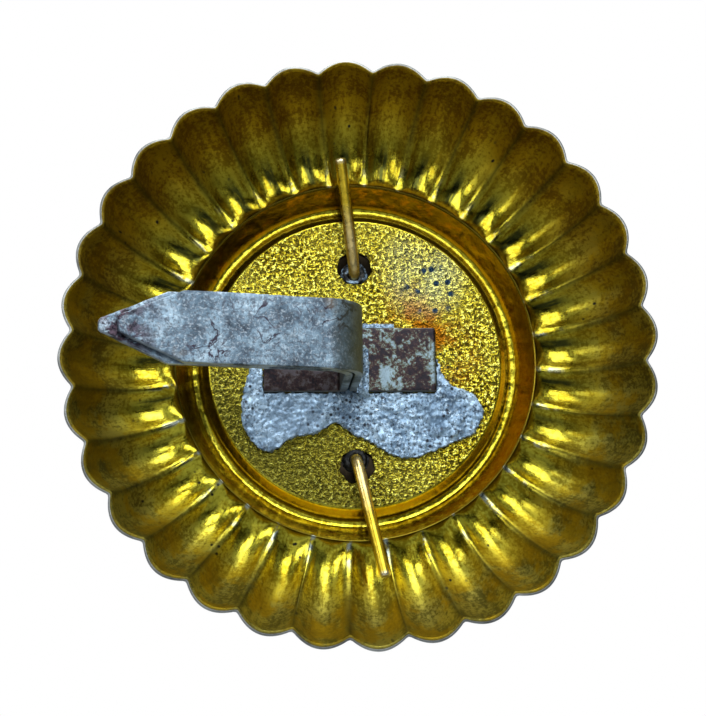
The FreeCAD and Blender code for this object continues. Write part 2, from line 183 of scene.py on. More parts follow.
def column(i):
    """Flute number, place across it (-1..1) and angle of one column of the mesh."""
    index = i // ACROSS
    across = -1.0 + 2.0 * (i % ACROSS) / ACROSS
    return index, across, PHASE + (index + across / 2.0) * PITCH


def shade_stripe_at(i):
    """Painted shade: a dark stripe on the upward side of each trough, in its middle on the topmost flutes."""
    _, across, angle = column(i)
    turn = math.radians(angle)
    near = max(0.0, 1.0 - abs(across - 0.42 * math.cos(turn)) / 0.34)
    return near * min(1.0, max(0.0, 0.75 + 0.9 * math.sin(turn)))


def soft_dent(p, run):
    """Small pressing unevenness that dies out at the cut edge and at the inner end."""
    window = math.sin(math.pi * min(1.0, max(0.0, run))) ** 0.7 if 0.0 < run < 1.0 else 0.0
    return 0.05 * window * fractal(p, 0.55, 1.0, 2)


def rosette():
    points, ridge, front, zone, around, shade_stripe = [], [], [], [], [], []
    rows = []

    def add_row(maker, is_front, zone_value):
        rows.append(len(points))
        for i in range(COLUMNS):
            p, crest = maker(i)
            points.append(p)
            ridge.append(crest)
            front.append(is_front)
            zone.append(zone_value)
            around.append(i / COLUMNS)
            shade_stripe.append(shade_stripe_at(i))

    def flute_row(run, is_front):
        def maker(i):
            index, across, angle = column(i)
            bias = flute_bias[index]
            radius, depth = flute_point(across, run, False)
            extra = soft_dent(at(radius, depth, angle), run)
            window = math.sin(math.pi * run) if 0.0 < run < 1.0 else 0.0
            extra += 0.05 * bias[0] * window * trough_shape(across, run)
            radius, depth = flute_point(across, run, is_front, extra)
            swing = 0.35 * bias[1] * window
            return at(radius, depth, angle + swing), abs(across) ** 2
        return maker

    def circle_row(radius, depth, crest=0.0, wobble=0.0):
        def maker(i):
            _, _, angle = column(i)
            p = at(radius, depth, angle)
            shift = wobble * fractal(p, 1.6, 3.0, 3)
            return at(radius, depth + shift, angle), crest
        return maker

    # back, from the cut edge inward
    edge = 0.05
    for k in range(61):
        along = 1.0 - k / 60.0
        if k == 0:
            def rim_maker(i):
                p, crest = flute_row(1.0, 0.0)(i)
                return (p[0], -edge, p[2]), crest
            add_row(rim_maker, 0.0, 1.0)
        else:
            add_row(flute_row(along ** 1.7, 0.0), 0.0, along ** 1.7)
    steps = 10
    for k in range(1, steps + 1):
        s = k / steps
        ease = 0.07 * math.sin(math.pi * s)
        radius = START_RADIUS - WALL_RUN * s + ease * 0.9
        depth = -START_DEPTH - WALL_RISE * s - ease * 0.4
        add_row(circle_row(radius, depth, 0.0, 0.02 * math.sin(math.pi * s)), 0.0, -0.25 * s)
    for s in (0.2, 0.5, 0.8):
        dip = 0.05 * math.sin(math.pi * s)
        add_row(
            circle_row(FOOT_RADIUS - GROOVE_WIDTH * s, GROOVE_BACK - dip, 0.0, 0.02), 0.0,
            -0.3 - 0.1 * s)
    for k in range(0, 9):
        s = k / 8.0
        bulge = 0.06 * math.sin(math.pi * s)
        radius = GROOVE_RADIUS - FLANK_RUN * s + bulge * 0.8
        depth = GROOVE_BACK + FLANK_RISE * s + bulge * 0.5
        add_row(circle_row(radius, depth, 0.0, 0.015 * math.sin(math.pi * s)), 0.0, -0.5 - 0.3 * s)
    faces = []
    for first, second in zip(rows, rows[1:]):
        faces += ring_faces(first, second, COLUMNS)
    back_inner = rows[-1]

    # front, from the cut edge inward
    first_front = len(rows)
    for k in range(25):
        along = 1.0 - k / 24.0
        if k == 0:
            def front_rim(i):
                p, crest = flute_row(1.0, 1.0)(i)
                return (p[0], -edge, p[2]), crest
            add_row(front_rim, 1.0, 1.0)
        else:
            add_row(flute_row(along ** 1.7, 1.0), 1.0, along ** 1.7)
    wall_step = SHEET * math.tan(math.radians(WALL_LEAN))
    flank_step = SHEET * math.tan(0.5 * math.atan2(FLANK_RISE, FLANK_RUN))
    add_row(circle_row(FOOT_RADIUS + wall_step, GROOVE_BACK - SHEET), 1.0, -0.25)
    add_row(circle_row(GROOVE_RADIUS - flank_step, GROOVE_BACK - SHEET), 1.0, -0.4)
    add_row(circle_row(FLOOR_RADIUS - flank_step, FLOOR_FRONT), 1.0, -0.8)
    front_rows = rows[first_front:]
    for first, second in zip(front_rows, front_rows[1:]):
        faces += ring_faces(first, second, COLUMNS, flip=True)
    front_inner = rows[-1]

    # cut edge, very slightly rounded
    rim_rows = []
    for share, look in ((0.15, 0.0), (0.50, 0.3), (0.60, 0.7), (0.85, 1.0)):
        def rim(i, share=share):
            inner, _ = flute_row(1.0, 0.0)(i)
            outer, _ = flute_row(1.0, 1.0)(i)
            x = inner[0] + (outer[0] - inner[0]) * share
            z = inner[2] + (outer[2] - inner[2]) * share
            return (x, 0.0, z), 1.0
        rim_rows.append(len(points))
        add_row(rim, look, 1.05)
    faces += ring_faces(rim_rows[0], rows[0], COLUMNS)
    for first, second in zip(rim_rows, rim_rows[1:]):
        faces += ring_faces(second, first, COLUMNS)
    faces += ring_faces(rows[first_front], rim_rows[-1], COLUMNS)

    # flat stippled floor with its two holes
    def floor_patch(outer_first, radius, depth, spacing, is_front, stipple):
        flat = []
        owner = []
        for i in range(COLUMNS):
            p = points[outer_first + i]
            flat.append((p[0], p[2]))
            owner.append(outer_first + i)
        edges = [(i, (i + 1) % COLUMNS) for i in range(COLUMNS)]
        hole_rings = []
        for z in HOLES:
            base = len(flat)
            ring = []
            for k in range(HOLE_SIDES):
                turn = 2 * math.pi * k / HOLE_SIDES
                wave = 1.0 + 0.02 * math.sin(3 * turn + z) + 0.012 * math.sin(7 * turn)
                x = HOLE_RADIUS * wave * math.cos(turn)
                y = z + HOLE_RADIUS * wave * math.sin(turn)
                flat.append((x, y))
                ring.append(base + k)
                edges.append((base + k, base + (k + 1) % HOLE_SIDES))
            hole_rings.append(ring)
        rows_count = int(radius / (spacing * 0.87)) + 1
        for r in range(-rows_count, rows_count + 1):
            for c in range(-int(radius / spacing) - 1, int(radius / spacing) + 2):
                x = (c + 0.5 * (r % 2)) * spacing + random.uniform(-0.25, 0.25) * spacing
                y = r * spacing * 0.87 + random.uniform(-0.25, 0.25) * spacing
                if math.hypot(x, y) > radius - 0.6 * spacing:
                    continue
                if min(math.hypot(x, y - z) for z in HOLES) < HOLE_RADIUS + 0.5 * spacing:
                    continue
                flat.append((x, y))
        result = geometry.delaunay_2d_cdt([Vector(v) for v in flat], edges, [], 0, 1e-7)
        verts, tris, sources = result[0], result[2], result[3]
        index = []
        for v, source in zip(verts, sources):
            old = source[0] if len(source) else -1
            if 0 <= old < COLUMNS:
                index.append(owner[old])
                continue
            x, y = v
            near_hole = min(math.hypot(x, y - z) for z in HOLES) - HOLE_RADIUS
            fade = min(1.0, max(0.0, near_hole / 0.25), (radius - math.hypot(x, y)) / 0.4)
            grain = noise.cell_vector(Vector((x * 3.4, y * 3.4, 0)))[0]
            bump = stipple * fade * (fractal((x, y, 0), 4.6, 5.0, 2) * 0.7 + 0.15 * (grain - 0.5))
            roll = -0.06 * max(0.0, 1.0 - near_hole / 0.2) if not is_front else 0.0
            index.append(len(points))
            points.append((x, depth + bump + roll, y))
            ridge.append(0.0)
            front.append(1.0 if is_front else 0.0)
            zone.append(-1.0)
            around.append(0.0)
            shade_stripe.append(0.0)
        for tri in tris:
            cx = sum(verts[v][0] for v in tri) / 3.0
            cy = sum(verts[v][1] for v in tri) / 3.0
            if min(math.hypot(cx, cy - z) for z in HOLES) < HOLE_RADIUS * 0.93:
                continue
            face = tuple(index[v] for v in tri)
            faces.append(face if is_front else face[::-1])
        where = {source[0]: index[n] for n, source in enumerate(sources) if len(source)}
        return [[where[v] for v in ring] for ring in hole_rings]

    back_rings = floor_patch(back_inner, FLOOR_RADIUS, FLOOR_BACK, 0.1, False, 0.035)
    front_rings = floor_patch(front_inner, FLOOR_RADIUS - flank_step, FLOOR_FRONT, 0.6, True, 0.0)
    for upper, lower in zip(back_rings, front_rings):
        for k in range(HOLE_SIDES):
            n = (k + 1) % HOLE_SIDES
            faces.append((upper[k], upper[n], lower[n], lower[k]))
    obj = make_object("rosette", points, faces)
    looks = (("ridge", ridge), ("front", front), ("zone", zone), ("around", around), ("shade_stripe", shade_stripe))
    for name, values in looks:
        set_attribute(obj, name, values)
    return obj


# ---------------------------------------------------------------- strips, wires, solder

STRIP_LOW, STRIP_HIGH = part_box("outer_prong_foot")
STRIP_WIDTH = (STRIP_HIGH.z - STRIP_LOW.z) / MM
STRIP_Z = (STRIP_HIGH.z + STRIP_LOW.z) / 2.0 / MM
STRIP_THICK = 0.45
FOLD = math.radians(77.0)
PIVOT = Vector(joint("outer_prong_fold")["pos_m"]) / MM


def strip_path(foot_end, riser_mid, toward, fold_radius, leg_length):
    """Middle line of a prong: points with the direction along it, in the X-Y plane."""
    bend = 0.35 + STRIP_THICK / 2.0
    level = FLOOR_BACK + STRIP_THICK / 2.0
    corner = riser_mid + toward * bend
    stations = []

    def run(a, b, count):
        for k in range(count):
            s = k / count
            stations.append(((a[0] + (b[0] - a[0]) * s, a[1] + (b[1] - a[1]) * s), (b[0] - a[0], b[1] - a[1])))

    run((foot_end, level), (corner, level), 44)
    for k in range(10):
        turn = math.pi / 2.0 * k / 10
        x = corner - toward * bend * math.sin(turn)
        y = level + bend * (1.0 - math.cos(turn))
        stations.append(((x, y), (-toward * math.cos(turn), math.sin(turn))))
    run((riser_mid, level + bend), (riser_mid, PIVOT.y), 46)
    for k in range(24):
        turn = FOLD * k / 24
        x = PIVOT.x - fold_radius * math.cos(turn)
        y = PIVOT.y + fold_radius * math.sin(turn)
        stations.append(((x, y), (math.sin(turn), math.cos(turn))))
    x = PIVOT.x - fold_radius * math.cos(FOLD)
    y = PIVOT.y + fold_radius * math.sin(FOLD)
    along = (math.sin(FOLD), math.cos(FOLD))
    run((x, y), (x + leg_length * along[0], y + leg_length * along[1]), 96)
    stations.append(((x + leg_length * along[0], y + leg_length * along[1]), along))
    return stations


def strip(name, foot_end, riser_mid, toward, fold_radius, taper, tip, seed):
    """One prong as a single bent strip with broken edges."""
    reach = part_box(name + "_leg")[1].x / MM - PIVOT.x + fold_radius * math.cos(FOLD)
    leg_length = (reach - STRIP_THICK / 2.0 * math.cos(FOLD)) / math.sin(FOLD)
    stations = strip_path(foot_end, riser_mid, toward, fold_radius, leg_length)
    lengths = [0.0]
    for (a, _), (b, _) in zip(stations, stations[1:]):
        lengths.append(lengths[-1] + math.hypot(b[0] - a[0], b[1] - a[1]))
    total = lengths[-1]
    section = 20
    points, faces, edge_wear_and_highlight_values = [], [], []
    half_thick = STRIP_THICK / 2.0
    count = None
    for (middle, direction), length in zip(stations, lengths):
        size = math.hypot(*direction)
        d = (direction[0] / size, direction[1] / size)
        n = (d[1], -d[0])
        left = total - length
        half = STRIP_WIDTH / 2.0
        if left < taper:
            half = tip / 2.0 + (half - tip / 2.0) * left / taper
        end = min(length, left)
        shrink = 0.06 * max(0.0, 1.0 - end / 0.08) ** 2
        ring = []
        corner = 0.07
        h = half - shrink
        t = half_thick - shrink
        for k in range(section + 1):
            ring.append((t, -h + corner + (2 * h - 2 * corner) * k / section))
        for k in range(1, 4):
            a = math.pi / 2 * k / 4
            ring.append((t - corner * (1 - math.cos(a)), h - corner * (1 - math.sin(a))))
        ring.append((t - corner, h))
        ring.append((-t + corner, h))
        for k in range(1, 4):
            a = math.pi / 2 * k / 4
            ring.append((-t + corner * (1 - math.sin(a)), h - corner * (1 - math.cos(a))))
        for k in range(section + 1):
            ring.append((-t, h - corner - (2 * h - 2 * corner) * k / section))
        for k in range(1, 4):
            a = math.pi / 2 * k / 4
            ring.append((-t + corner * (1 - math.cos(a)), -h + corner * (1 - math.sin(a))))
        ring.append((-t + corner, -h))
        ring.append((t - corner, -h))
        for k in range(1, 4):
            a = math.pi / 2 * k / 4
            ring.append((t - corner * (1 - math.sin(a)), -h + corner * (1 - math.cos(a))))
        count = len(ring)
        for off, z in ring:
            p = (middle[0] + n[0] * off, middle[1] + n[1] * off, STRIP_Z + z)
            face_side = 1.0 if abs(off) > t - 0.01 else 0.0
            rough = 0.012 * fractal(p, 1.1, seed, 3) * face_side
            edge_shift = 0.03 * fractal((p[0], p[1], 0.0), 0.9, seed + 2, 3) if face_side == 0.0 else 0.0
            rough = min(rough, 0.0) if length > 0.1 else 0.0
            grow = off / half_thick * rough
            p = (p[0] + n[0] * grow, p[1] + n[1] * grow, p[2] - abs(edge_shift) * (1 if z > 0 else -1))
            points.append(p)
            edge_wear_and_highlight_values.append(max(0.0, 1.0 - (h - abs(z)) / 0.25))
    rows = [k * count for k in range(len(stations))]
    for first, second in zip(rows, rows[1:]):
        faces += ring_faces(first, second, count)
    faces.append(tuple(range(count))[::-1])
    faces.append(tuple(range(rows[-1], rows[-1] + count)))
    obj = make_object(name, points, faces)
    set_attribute(obj, "edge_wear_and_highlight", edge_wear_and_highlight_values)
    return obj


def tube(name, centres, radius, seed):
    """Round wire along a list of points, with a snipped end."""
    sides = 28
    points, faces, near_end = [], [], []
    total = len(centres)
    up = Vector((0, 1, 0))
    for k, centre in enumerate(centres):
        a = centres[max(0, k - 1)]
        b = centres[min(total - 1, k + 1)]
        d = (Vector(b) - Vector(a)).normalized()
        side = d.cross(up)
        side = side.normalized() if side.length > 1e-6 else Vector((1, 0, 0))
        other = side.cross(d)
        r = radius
        left = (Vector(centres[-1]) - Vector(centre)).length
        if left < 0.1:
            r = radius * (0.72 + 0.28 * left / 0.1)
        for i in range(sides):
            turn = 2 * math.pi * i / sides
            p = Vector(centre) + side * (r * math.cos(turn)) + other * (r * math.sin(turn))
            p -= (p - Vector(centre)) * 0.03 * (0.5 + 0.5 * fractal(p, 2.5, seed, 3))
            points.append(tuple(p))
            near_end.append(max(0.0, 1.0 - left / 0.35))
    rows = [k * sides for k in range(total)]
    for first, second in zip(rows, rows[1:]):
        faces += ring_faces(first, second, sides)
    faces.append(tuple(range(sides))[::-1])
    faces.append(tuple(range(rows[-1], rows[-1] + sides)))
    obj = make_object(name, points, faces)
    set_attribute(obj, "cut", near_end)
    return obj


def wire(name, side):
    """Stem, bend and tail of one wire, from its joint and the boxes of its parts."""
    hinge = joint(side + "_wire_fold")
    start = Vector(hinge["pos_m"]) / MM
    axis = Vector(hinge["axis"]).normalized()
    up = Vector((0, 1, 0))
    out = axis.cross(up)
    tail_low, tail_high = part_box(side + "_wire_tail")
    toward = (tail_low + tail_high) / 2.0 / MM - start
    if out.dot(toward) < 0:
        out = -out
    bend = 0.8
    radius = 0.35
    fold = math.radians(80.0)
    pivot = start
    first = pivot - out * bend
    centres = [Vector((first.x, FLOOR_FRONT + (first.y - FLOOR_FRONT) * k / 3.0, first.z)) for k in range(3)]
    for k in range(16):
        turn = fold * k / 16
        centres.append(pivot - out * (bend * math.cos(turn)) + up * (bend * math.sin(turn)))
    end = pivot - out * (bend * math.cos(fold)) + up * (bend * math.sin(fold))
    along = out * math.sin(fold) + up * math.cos(fold)
    length = 6.05 if side == "upper" else 6.4
    for k in range(61):
        centres.append(end + along * (length * k / 60.0))
    obj = tube(name, [tuple(c) for c in centres], radius, 3.0 if side == "upper" else 4.0)
    return obj, first, end


def remeshed(node, name, voxel, rough, scale, seed, smooth_steps=2):
    """A CAD part's own shape as a fine even mesh, with a rough skin inside it."""
    source = frame["nodes"][node]
    mesh = source.data.copy()
    mesh.materials.clear()
    temp = bpy.data.objects.new(name + "_temp", mesh)
    scene.collection.objects.link(temp)
    modifier = temp.modifiers.new("even", "REMESH")
    modifier.mode = "VOXEL"
    modifier.voxel_size = voxel * MM
    modifier.use_smooth_shade = True
    if smooth_steps:
        soft = temp.modifiers.new("soft", "SMOOTH")
        soft.iterations = smooth_steps
        soft.factor = 0.5
    graph = bpy.context.evaluated_depsgraph_get()
    fine = bpy.data.meshes.new_from_object(temp.evaluated_get(graph))
    bpy.data.objects.remove(temp)
    fine.name = name
    co = np.zeros(len(fine.vertices) * 3)
    fine.vertices.foreach_get("co", co)
    no = np.zeros(len(fine.vertices) * 3)
    fine.vertices.foreach_get("normal", no)
    co = co.reshape(-1, 3)
    no = no.reshape(-1, 3)
    for k in range(len(co)):
        p = co[k] / MM
        amount = rough * (fractal(p, scale, seed, 4) - 0.55)
        co[k] += no[k] * amount * MM
    fine.vertices.foreach_set("co", co.ravel())
    fine.update()
    fine.shade_smooth()
    obj = bpy.data.objects.new(name, fine)
    scene.collection.objects.link(obj)
    return obj


def lathe(name, profile, count):
    points, faces = [], []
    rows = []
    for radius, depth in profile:
        rows.append(len(points))
        for i in range(count):
            points.append(at(max(radius, 0.002), depth, 360.0 * i / count))
    for first, second in zip(rows, rows[1:]):
        faces += ring_faces(first, second, count)
    faces.append(tuple(range(count))[::-1])
    faces.append(tuple(range(rows[-1], rows[-1] + count)))
    return make_object(name, points, faces)


def emblem():
    """Plain boss with a rounded border, as the CAD part."""
    low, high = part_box("front_emblem")
    back = high.y / MM
    radius = high.x / MM
    front = back - 0.5
    boss, height, step_depth, step = 4.6, 1.7, 0.45, 5.3
    sphere = (boss ** 2 + height ** 2) / (2.0 * height)
    inside = sphere - 0.5
    base = front - step_depth
    ball = base - height + sphere
    turn = math.asin(boss / sphere)
    inner = math.sqrt(inside ** 2 - (back - ball) ** 2)
    profile = []
    for k in range(25):
        a = turn * k / 24
        profile.append((sphere * math.sin(a), ball - sphere * math.cos(a)))
    for k in range(1, 7):
        profile.append((boss + (step - 0.05 - boss) * k / 6, base))
    profile += [(step, base + 0.05), (step, front - 0.04), (step + 0.04, front)]
    rim = radius - 0.5
    for k in range(1, 12):
        profile.append((step + 0.04 + (rim - 0.1 - step) * k / 11.0, front))
    for k in range(0, 13):
        a = math.pi * k / 12
        profile.append((rim + 0.5 * math.sin(a), back - 0.5 - 0.5 * math.cos(a)))
    profile += [(rim - 1.0, back), (inner + 0.05, back), (inner, back - 0.05)]
    inner_turn = math.asin(inner / inside)
    for k in range(1, 17):
        a = inner_turn * (1 - k / 16)
        profile.append((inside * math.sin(a), ball - inside * math.cos(a)))
    return lathe("emblem", profile, 160)


# ---------------------------------------------------------------- materials

class Nodes:
    """Small helper for building a node material."""

    def __init__(self, name):
        self.material = bpy.data.materials.new(name)
        self.material.use_nodes = True
        self.tree = self.material.node_tree
        self.tree.nodes.clear()
        self.out = self.new("ShaderNodeOutputMaterial")
        self.shader = self.new("ShaderNodeBsdfPrincipled")
        self.link(self.shader.outputs[0], self.out.inputs["Surface"])
        self.coord = self.new("ShaderNodeTexCoord").outputs["Object"]

    def new(self, kind, **settings):
        node = self.tree.nodes.new(kind)
        for key, value in settings.items():
            setattr(node, key, value)
        return node

    def link(self, a, b):
        self.tree.links.new(a, b)

    def noise(self, scale, detail=4.0, rough=0.55, distortion=0.0, vector=None):
        node = self.new("ShaderNodeTexNoise")
        self.link(vector or self.coord, node.inputs["Vector"])
        node.inputs["Scale"].default_value = scale
        node.inputs["Detail"].default_value = detail
        node.inputs["Roughness"].default_value = rough
        node.inputs["Distortion"].default_value = distortion
        return node.outputs["Fac"]

    def streaks(self, around, along, fine, stretch):
        """Noise drawn out along the flutes, from the shell's own round-and-along attributes."""
        join = self.new("ShaderNodeCombineXYZ")
        self.link(self.new_math("MULTIPLY", around, fine), join.inputs[0])
        self.link(self.new_math("MULTIPLY", along, stretch), join.inputs[1])
        return self.noise(1.0, 4.0, 0.6, 0.0, join.outputs[0])

    def new_math(self, kind, a, b=0.0, clamp=False):
        node = self.new("ShaderNodeMath", operation=kind)
        node.use_clamp = clamp
        for value, index in ((a, 0), (b, 1)):
            if isinstance(value, (int, float)):
                node.inputs[index].default_value = value
            else:
                self.link(value, node.inputs[index])
        return node.outputs[0]

    def cells(self, scale, flat=False):
        """Distance to scattered points, in space or on planes seen along Y."""
        node = self.new("ShaderNodeTexVoronoi")
        if flat:
            node.voronoi_dimensions = "2D"
            parts = self.split()
            join = self.new("ShaderNodeCombineXYZ")
            self.link(parts[0], join.inputs[0])
            self.link(parts[2], join.inputs[1])
            self.link(join.outputs[0], node.inputs["Vector"])
        else:
            self.link(self.coord, node.inputs["Vector"])
        node.inputs["Scale"].default_value = scale
        return node.outputs["Distance"]

    def ramp(self, value, *stops):
        node = self.new("ShaderNodeValToRGB")
        self.link(value, node.inputs[0])
        elements = node.color_ramp.elements
        while len(elements) < len(stops):
            elements.new(0.5)
        for element, (place, colour) in zip(elements, stops):
            element.position = place
            element.color = (*colour, 1.0) if isinstance(colour, tuple) else (
                colour, colour, colour, 1.0)
        return node.outputs["Color"]

    def attribute(self, name):
        return self.new("ShaderNodeAttribute", attribute_name=name).outputs["Fac"]

    def mix(self, share, a, b):
        node = self.new("ShaderNodeMix", data_type="RGBA")
        for value, index in ((share, 0), (a, 6), (b, 7)):
            if isinstance(value, (int, float)):
                node.inputs[index].default_value = value
            elif isinstance(value, tuple):
                node.inputs[index].default_value = (*value, 1.0)
            else:
                self.link(value, node.inputs[index])
        return node.outputs[2]

    def math(self, kind, a, b=0.0):
        """The same, kept between 0 and 1."""
        return self.new_math(kind, a, b, kind in ("MULTIPLY", "ADD", "SUBTRACT"))

    def between(self, value, low, high):
        """0 where the value is at low, 1 where it is at high, clamped."""
        node = self.new("ShaderNodeMapRange")
        self.link(value, node.inputs["Value"])
        node.inputs["From Min"].default_value = low
        node.inputs["From Max"].default_value = high
        return node.outputs[0]

    def split(self):
        node = self.new("ShaderNodeSeparateXYZ")
        self.link(self.coord, node.inputs[0])
        return node.outputs

    def bump(self, height, strength, distance, normal=None):
        node = self.new("ShaderNodeBump")
        self.link(height, node.inputs["Height"])
        if isinstance(strength, (int, float)):
            node.inputs["Strength"].default_value = strength
        else:
            self.link(strength, node.inputs["Strength"])
        node.inputs["Distance"].default_value = distance
        if normal is not None:
            self.link(normal, node.inputs["Normal"])
        return node.outputs["Normal"]

    def finish(self, colour, rough, normal, metallic=1.0):
        self.link(colour, self.shader.inputs["Base Color"])
        self.link(rough, self.shader.inputs["Roughness"])
        if isinstance(metallic, float):
            self.shader.inputs["Metallic"].default_value = metallic
        else:
            self.link(metallic, self.shader.inputs["Metallic"])
        self.link(normal, self.shader.inputs["Normal"])
        return self.material


def spot(n, x, z, radius, soft):
    """1 inside a round patch about a line along Y, fading to 0 outside it; lengths in millimetres."""
    parts = n.split()
    dx = n.math("ABSOLUTE", n.new_math("SUBTRACT", parts[0], x * MM))
    dz = n.new_math("SUBTRACT", parts[2], z * MM)
    d = n.new_math(
        "SQRT", n.new_math("ADD", n.new_math("MULTIPLY", dx, dx), n.new_math("MULTIPLY", dz, dz)))
    node = n.new("ShaderNodeMapRange")
    node.clamp = True
    n.link(d, node.inputs["Value"])
    node.inputs["From Min"].default_value = radius * MM
    node.inputs["From Max"].default_value = (radius + soft) * MM
    node.inputs["To Min"].default_value = 1.0
    node.inputs["To Max"].default_value = 0.0
    return node.outputs[0]


def lacquer():
    """Amber lacquer over brass on the back, silvery metal on the front and the cut edge."""
    n = Nodes("lacquered_brass")
    ridge = n.attribute("ridge")
    front = n.attribute("front")
    zone = n.attribute("zone")
    around = n.attribute("around")
    depth = n.math("MULTIPLY", zone, -1.0)
    blotch = n.noise(520.0, 5.0, 0.62)
    fine = n.noise(2600.0, 4.0, 0.65)
    scratch = n.streaks(around, zone, 420.0, 7.0)
    speckle = n.noise(5200.0, 4.0, 0.7)
    upper = n.between(n.split()[2], -0.004, 0.012)
    shade = n.math("ADD", blotch, n.new_math("MULTIPLY", n.new_math("SUBTRACT", scratch, 0.5), 0.7))
    shade = n.math("ADD", shade, n.new_math("MULTIPLY", n.new_math("SUBTRACT", speckle, 0.5), 1.3))
    gold = n.mix(n.ramp(shade, (0.36, 0.0), (0.62, 1.0)), (0.30, 0.215, 0.009), (0.62, 0.52, 0.045))
    olive = n.mix(n.ramp(shade, (0.36, 0.0), (0.62, 1.0)), (0.11, 0.088, 0.014), (0.30, 0.245, 0.045))
    amber = n.ramp(n.noise(420.0, 5.0, 0.65), (0.46, 0.0), (0.55, 1.0))
    olive = n.mix(amber, olive, n.mix(shade, (0.16, 0.095, 0.004), (0.40, 0.26, 0.012)))
    brown = n.mix(n.ramp(shade, (0.36, 0.0), (0.62, 1.0)), (0.20, 0.10, 0.004), (0.42, 0.255, 0.008))
    # painted shade: the outer flutes turn browner toward the top (+Z)
    olive = n.mix(upper, olive, brown)
    outer = n.ramp(zone, (0.18, 0.0), (0.62, 1.0))
    colour = n.mix(outer, gold, olive)
    # painted shade: the inner flutes are darkened toward the top and toward -X
    beside = n.between(n.split()[0], -0.004, -0.012)
    shaded = n.math("ADD", upper, n.math("MULTIPLY", beside, 0.8))
    near = n.math("MULTIPLY", shaded, n.ramp(zone, (0.0, 0.45), (0.35, 0.45), (0.50, 0.0)))
    colour = n.mix(near, colour, (0.13, 0.095, 0.005))
    # the smooth band and the flank are browner
    band = n.math(
        "MULTIPLY", n.ramp(zone, (0.0, 1.0), (0.02, 0.0)), n.ramp(depth, (0.22, 1.0), (0.26, 0.0)))
    colour = n.mix(
        n.math("MULTIPLY", band, 0.8), colour, n.mix(fine, (0.22, 0.155, 0.012), (0.40, 0.30, 0.025)))
    # painted shade: the band is darker toward the top
    colour = n.mix(
        n.math("MULTIPLY", n.math("MULTIPLY", upper, band), 0.8), colour, (0.08, 0.050, 0.004))
    # painted light: the band is lighter toward -X
    colour = n.mix(n.math("MULTIPLY", n.math("MULTIPLY", beside, band), 0.8), colour, (0.62, 0.42, 0.03))
    mottle = n.math("MULTIPLY", band, n.ramp(n.noise(1700.0, 5.0, 0.7), (0.50, 0.0), (0.62, 0.7)))
    colour = n.mix(mottle, colour, (0.40, 0.20, 0.012))
    flank = n.ramp(depth, (0.46, 0.0), (0.50, 1.0), (0.74, 1.0), (0.80, 0.0))
    colour = n.mix(flank, colour, (0.22, 0.145, 0.008))
    # painted shade: the crease where the band meets the inner ends of the flutes is darkened
    crease_shade = n.math(
        "MULTIPLY", n.ramp(zone, (0.0, 1.0), (0.012, 0.0)), n.ramp(depth, (0.0, 1.0), (0.03, 0.0)))
    colour = n.mix(n.math("MULTIPLY", crease_shade, 0.85), colour, (0.05, 0.035, 0.004))
    # stippled floor
    floor = n.ramp(depth, (0.86, 0.0), (0.95, 1.0))
    pits = n.noise(4300.0, 2.0, 0.7)
    clouds = n.ramp(n.noise(260.0, 3.0, 0.5), (0.38, 0.0), (0.62, 1.0))
    pits_warm = n.ramp(
        pits, (0.40, (0.022, 0.016, 0.002)), (0.48, (0.16, 0.105, 0.005)), (0.54, (0.44, 0.34, 0.012)),
        (0.64, (0.80, 0.74, 0.16)))
    floor_colour = n.mix(n.math("MULTIPLY", clouds, 0.35), pits_warm, (0.36, 0.30, 0.035))
    parts = n.split()
    # the floor is made darker toward -Z and +X
    toward_left = n.new_math("SUBTRACT", parts[2], n.new_math("MULTIPLY", parts[0], 0.8))
    darker_toward_lower_left = n.between(toward_left, -0.001, -0.009)
    floor_colour = n.mix(
        n.math("MULTIPLY", darker_toward_lower_left, 0.75), floor_colour,
        n.mix(pits, (0.02, 0.02, 0.004), (0.16, 0.14, 0.02)))
    colour = n.mix(floor, colour, floor_colour)
    # heat tint beside the feet, pale greenish stain above it
    rim_cloud = n.ramp(n.noise(700.0, 4.0, 0.6), (0.38, 0.0), (0.60, 1.0))
    tint = n.math(
        "MULTIPLY", n.math("ADD", spot(n, -3.4, 2.3, 0.9, 2.0), spot(n, -5.3, 0.6, 0.7, 1.9)),
        rim_cloud)
    colour = n.mix(
        n.math("MULTIPLY", tint, floor), colour, n.mix(pits, (0.04, 0.012, 0.002), (0.42, 0.15, 0.005)))
    pale = n.math("MULTIPLY", spot(n, -4.0, 5.4, 0.6, 2.4), clouds)
    colour = n.mix(
        n.math("MULTIPLY", pale, n.math("MULTIPLY", floor, 0.6)), colour,
        n.mix(pits, (0.20, 0.22, 0.12), (0.55, 0.60, 0.36)))
    drops = n.math(
        "MULTIPLY", n.ramp(n.cells(1350.0, True), (0.20, 1.0), (0.27, 0.0)),
        spot(n, -4.5, 4.4, 1.3, 0.8))
    drops = n.math("MULTIPLY", drops, n.ramp(n.noise(900.0, 2.0, 0.5), (0.47, 0.0), (0.52, 1.0)))
    colour = n.mix(n.math("MULTIPLY", drops, floor), colour, (0.012, 0.028, 0.05))
    specks = n.ramp(n.cells(1100.0, True), (0.06, 1.0), (0.12, 0.0))
    speck_where = n.ramp(n.noise(500.0, 2.0, 0.5), (0.60, 0.0), (0.66, 1.0))
    colour = n.mix(n.math("MULTIPLY", specks, speck_where), colour, (0.025, 0.022, 0.015))
